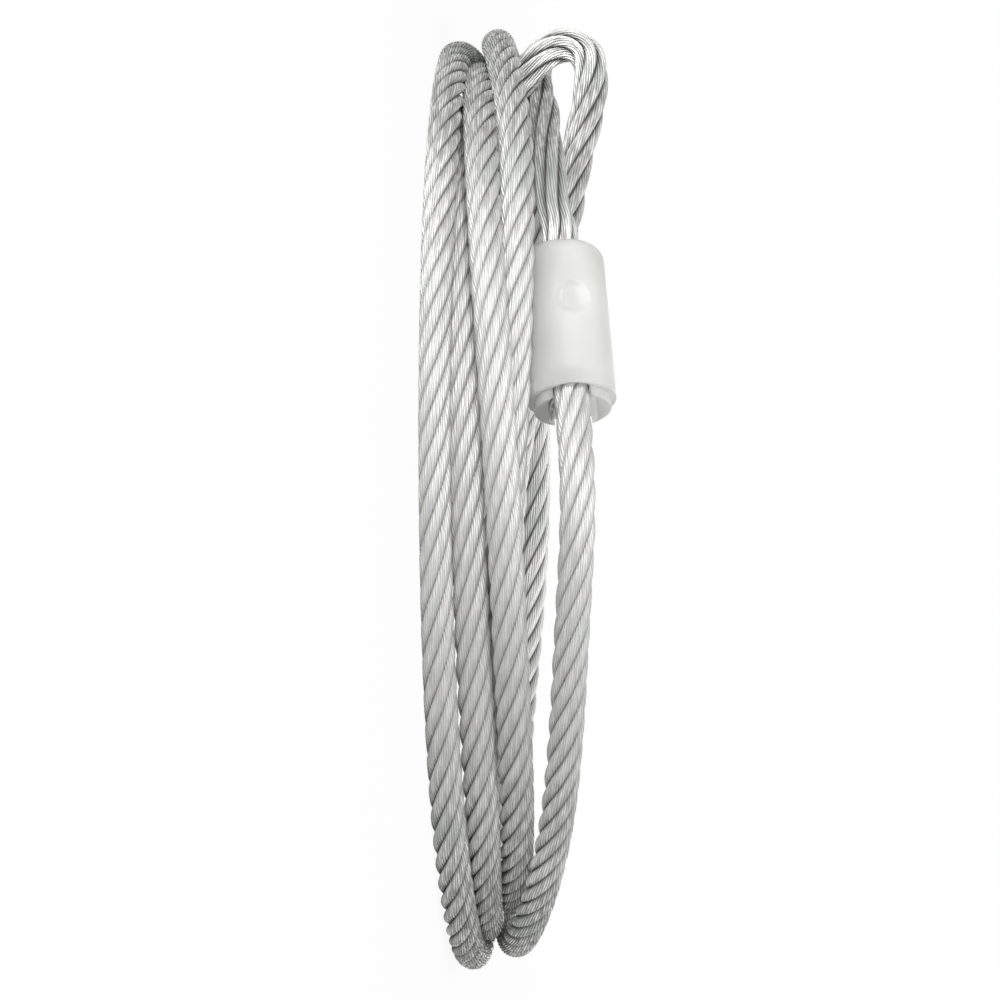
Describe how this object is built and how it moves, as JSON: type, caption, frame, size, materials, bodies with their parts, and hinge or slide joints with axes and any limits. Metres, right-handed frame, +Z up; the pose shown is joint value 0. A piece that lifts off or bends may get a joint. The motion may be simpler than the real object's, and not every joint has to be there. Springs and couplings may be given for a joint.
{
  "type": "coiled wire rope security cable",
  "caption": "Bare twisted steel wire rope lying in a coil, each end turned back into a small soft eye held in a pressed ferrule under a frosted moulded cover.",
  "frame": {"origin": "on the table, under the middle of the object's box", "axes": "+Z up along the coil's axis, away from the table; -Y is the side of the first cover; +X is the way that cover's mouth looks"},
  "size_m": [0.1475, 0.1451, 0.0277],
  "materials": {
    "wire_rope": "bright galvanised twisted wires",
    "ferrule": "pressed, satin",
    "cover": "frosted translucent moulding"
  },
  "bodies": {
    "root": {"cable_coil": "wire_rope", "eye_a": "wire_rope", "ferrule_a": "ferrule", "cover_a": "cover", "eye_b": "wire_rope", "ferrule_b": "ferrule", "cover_b": "cover"}
  },
  "joints": []
}
